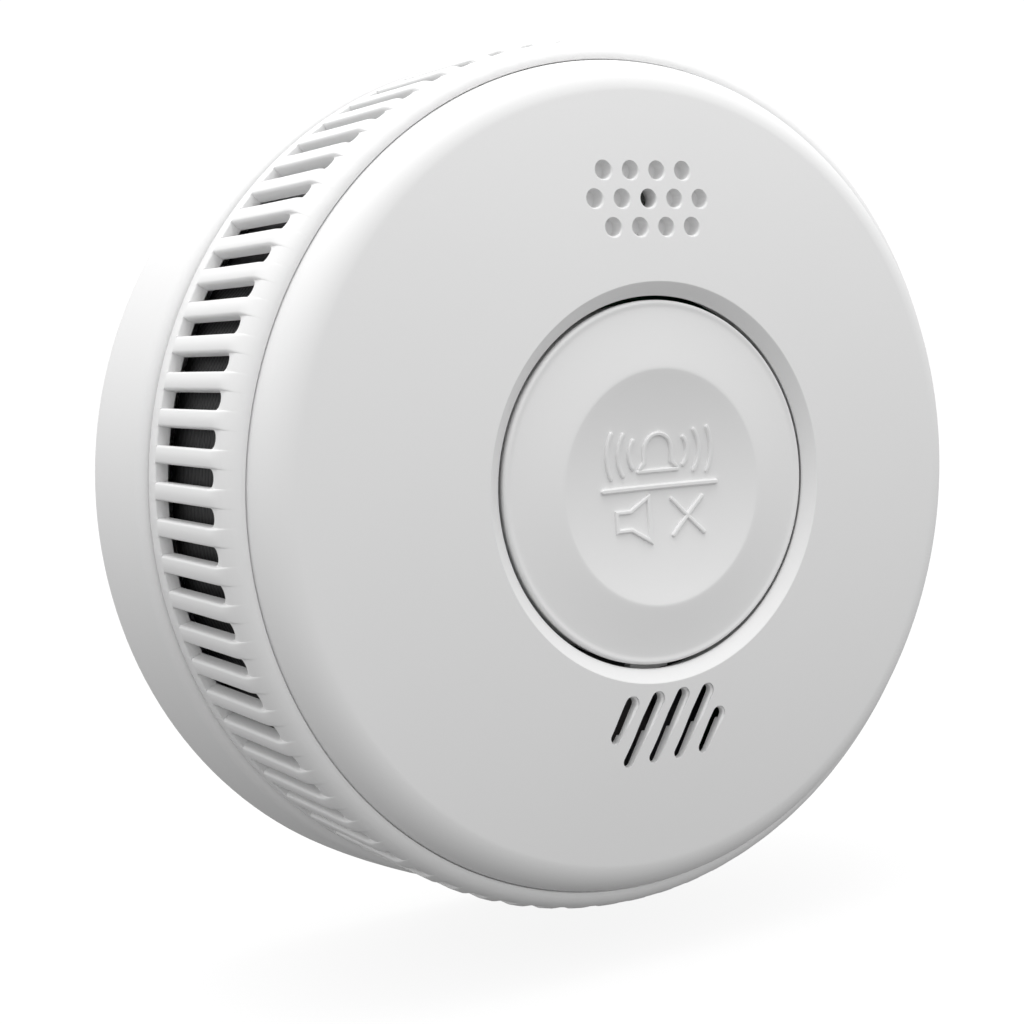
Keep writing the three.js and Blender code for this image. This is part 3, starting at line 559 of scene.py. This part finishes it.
def bow(x, z, radius, start, end, steps=12):
    turns = [math.radians(start + (end - start) * i / steps) for i in range(steps + 1)]
    return [(x + radius * math.cos(a), z + radius * math.sin(a)) for a in turns]


stroke, stroke_height = 0.55, 0.3
raised_line(bm, [(-8.3 + 16.6 * i / 24, -0.38) for i in range(25)], 0.7, 0.38)
bell = [(-2.7, 1.9), (-2.0, 2.6)] + bow(0, 4.0, 2.0, 180, 0, 14) + [(2.0, 2.6), (2.7, 1.9)]
raised_line(bm, bell, stroke, stroke_height)
raised_line(bm, [(-2.9 + 5.8 * i / 8, 1.55) for i in range(9)], stroke, stroke_height)
for side in (-1, 1):
    middle = 0 if side > 0 else 180
    raised_line(bm, bow(side * 1.6, 3.7, 2.7, middle - 38, middle + 38), stroke, stroke_height)
    raised_line(bm, bow(side * 1.6, 3.7, 4.4, middle - 34, middle + 34), stroke, stroke_height)
    raised_line(bm, bow(side * 1.6, 3.7, 6.1, middle - 26, middle + 26), stroke, stroke_height)
speaker = [(-6.4, -3.1), (-4.3, -3.1), (-1.5, -1.5), (-1.5, -6.9), (-4.3, -5.3), (-6.4, -5.3)]
raised_line(bm, speaker, stroke, stroke_height, loop=True)
raised_line(bm, [(1.9 + 4.4 * i / 6, -2.0 - 4.4 * i / 6) for i in range(7)], stroke, stroke_height)
raised_line(bm, [(1.9 + 4.4 * i / 6, -6.4 + 4.4 * i / 6) for i in range(7)], stroke, stroke_height)
button = object_from(bm, "button_cap")
soften(button, 28)
dress(button, white_plastic)
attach(button, "button")
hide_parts("test_button")

# Front cover. A domed white ABS shell with a soft edge, a bevelled opening for the button and a guide
# collar behind it. Thirteen small holes sit above the button and five leaning sound slots below it.
def face(radius):
    return crown_depth - radius * radius / (2 * dome_radius)


crown_depth, dome_radius = 44.8, 300
opening_edge, face_edge = 24.2, 46.78
edge_circle, edge_depth = 46, 36.2
bm = bmesh.new()
across_face = [opening_edge + (face_edge - opening_edge) * i / 14 for i in range(15)]
shell = [(radius, face(radius)) for radius in across_face]
shell += [(edge_circle + 5 * math.sin(a), edge_depth + 5 * math.cos(a))
          for a in [math.radians(8.87 + 81.13 * i / 14) for i in range(1, 15)]]
inside = [(edge_circle + 3 * math.sin(a), edge_depth + 3 * math.cos(a))
          for a in [math.radians(90 - 15 * i) for i in range(6)]]
bevel = [(22.5, 42.6), (22.53, 42.72), (22.62, 42.82), (24.0, 43.7), (24.1, 43.78)]
turned(bm, shell + [(51, 35.7), (50.85, 35.47), (49, 35.47)] + inside
       + [(24.1, 41.8), (24.1, 39.77), (23.2, 39.77), (23.1, 42.2)] + bevel, 192)
for angle in (60, 180, 300):
    x = screw_circle * math.cos(math.radians(angle))
    z = screw_circle * math.sin(math.radians(angle))
    turned(bm, [(1.6, 15.1), (1.6, 24.7), (0, 24.7), (0, 40.4), (3, 40.4), (3, 15.1)], 24, (x, z))
cover = object_from(bm, "domed_cover")
for row in (-1, 0, 1):
    count = 5 if row == 0 else 4
    for i in range(count):
        x = (i - (count - 1) / 2) * 3.83 - 0.31 * row
        z = 34 + row * 3.36
        top = face(math.hypot(x, z))
        bottom = 36 if row == 0 and i == 2 else top - 1.9
        mouth = [(1.12 + 0.2 * (1 - math.cos(a)), top - 0.2 + 0.2 * math.sin(a))
                 for a in [math.pi / 2 * k / 5 for k in range(6)]]
        tool = [(0, bottom), (0.9, bottom), (1.06, bottom + 0.06), (1.12, bottom + 0.2)]
        bm = bmesh.new()
        turned(bm, tool + mouth + [(1.32, top + 1), (0, top + 1)], 32, (x, z), closed=False)
        carve(cover, bm)
# The wall is thinned from the inside behind the sound slots, in two steps.
for top_edge, bottom_edge, front in ((-25.2, -30, 42.4), (-29.9, -35.5, 41.9)):
    bm = bmesh.new()
    slab(bm, [(-9.5, top_edge), (9.5, top_edge), (9.5, bottom_edge), (-9.5, bottom_edge)], 38, front)
    carve(cover, bm)
for column in (-2, -1, 0, 1, 2):
    short = abs(column) == 2
    along = -math.copysign(1.8, column) if short else 0
    sine, cosine = math.sin(math.radians(30)), math.cos(math.radians(30))
    x, z = column * 3.75 - 0.1 + along * sine, -29.65 + along * cosine
    half = ((6 if short else 9.8) - 1.5) / 2
    top = face(math.hypot(x, z))
    bm = bmesh.new()
    rows = []
    lip = ((0, top - 0.25), (0.03, top - 0.13), (0.1, top - 0.05), (0.25, top + 0.01))
    for grow, depth in ((0, 34), *lip, (0.25, top + 1)):
        ring = []
        for end in (1, -1):
            for k in range(13):
                a = math.pi * k / 12 + (0 if end > 0 else math.pi)
                u, v = (0.75 + grow) * math.cos(a), end * half + (0.75 + grow) * math.sin(a)
                right, up = x + u * cosine + v * sine, z - u * sine + v * cosine
                ring.append(bm.verts.new((right / 1000, -depth / 1000, up / 1000)))
        rows.append(ring)
    bm.faces.new(rows[0])
    bm.faces.new(rows[-1])
    for one, two in zip(rows, rows[1:]):
        for k in range(len(one)):
            n = (k + 1) % len(one)
            bm.faces.new([one[k], one[n], two[n], two[k]])
    carve(cover, bm)
soften(cover, 30)
mesh = cover.data
normals = [Vector(c.vector) for c in mesh.corner_normals]
for polygon in mesh.polygons:
    for loop in polygon.loop_indices:
        x, y, z = mesh.vertices[mesh.loops[loop].vertex_index].co * 1000
        out = Vector((x / 300, -1, z / 300)).normalized()
        radius = math.hypot(x, z)
        if abs(-y - face(radius)) < 0.02 and radius < 46.8 and polygon.normal.dot(out) > 0.985:
            normals[loop] = out
mesh.normals_split_custom_set(normals)
dress(cover, white_plastic)
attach(cover, "alarm")
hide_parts("front_cover")

# Housing screws. Three steel pan-head screws go in from the back and pull the cover down on the ring.
for number in (1, 2, 3):
    dress(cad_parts[f"housing_screw_{number}"], steel)

# Studio. A matt white floor just below the alarm, a pale sky that is brighter above, and one wide soft
# lamp straight overhead.
bm = bmesh.new()
bmesh.ops.create_grid(bm, x_segments=1, y_segments=1, size=4)
bmesh.ops.translate(bm, verts=bm.verts, vec=(0, 0, -0.0605))
floor = object_from(bm, "floor")
paper = bpy.data.materials.new("floor paper")
paper.use_nodes = True
shader = paper.node_tree.nodes["Principled BSDF"]
shader.inputs["Base Color"].default_value = (0.12, 0.12, 0.12, 1)
shader.inputs["Specular IOR Level"].default_value = 0
shader.inputs["Emission Color"].default_value = (1, 1, 1, 1)
shader.inputs["Emission Strength"].default_value = 0.88
shader.inputs["Roughness"].default_value = 0.9
dress(floor, paper)
floor.visible_diffuse = False
floor.visible_glossy = False
world = bpy.data.worlds.new("studio")
bpy.context.scene.world = world
world.use_nodes = True
nodes = world.node_tree.nodes
links = world.node_tree.links
sky = nodes["Background"]
seen = nodes.new("ShaderNodeBackground")
choice = nodes.new("ShaderNodeMixShader")
ray = nodes.new("ShaderNodeLightPath")
way = nodes.new("ShaderNodeTexCoord")
parts = nodes.new("ShaderNodeVectorMath")
parts.operation = "DOT_PRODUCT"
parts.inputs[1].default_value = (0.03, 0, 1)
level = nodes.new("ShaderNodeMapRange")
level.inputs["From Min"].default_value = -1
level.inputs["To Min"].default_value = 0.03
level.inputs["To Max"].default_value = 1.38
links.new(way.outputs["Generated"], parts.inputs[0])
links.new(parts.outputs["Value"], level.inputs["Value"])
links.new(level.outputs["Result"], sky.inputs["Strength"])
links.new(ray.outputs["Is Camera Ray"], choice.inputs["Fac"])
links.new(sky.outputs["Background"], choice.inputs[1])
links.new(seen.outputs["Background"], choice.inputs[2])
links.new(choice.outputs["Shader"], nodes["World Output"].inputs["Surface"])
sky.inputs["Color"].default_value = (1, 1, 1, 1)
seen.inputs["Color"].default_value = (1, 1, 1, 1)
seen.inputs["Strength"].default_value = 1.05
lamp = bpy.data.objects.new("overhead softbox", bpy.data.lights.new("overhead softbox", "AREA"))
lamp.data.shape = "SQUARE"
lamp.data.size = 0.7
lamp.data.energy = 6
lamp.location = (-0.1, -0.12, 1.1)
lamp.rotation_mode = "QUATERNION"
lamp.rotation_quaternion = Vector(lamp.location).to_track_quat("Z", "Y")
bpy.context.scene.collection.objects.link(lamp)
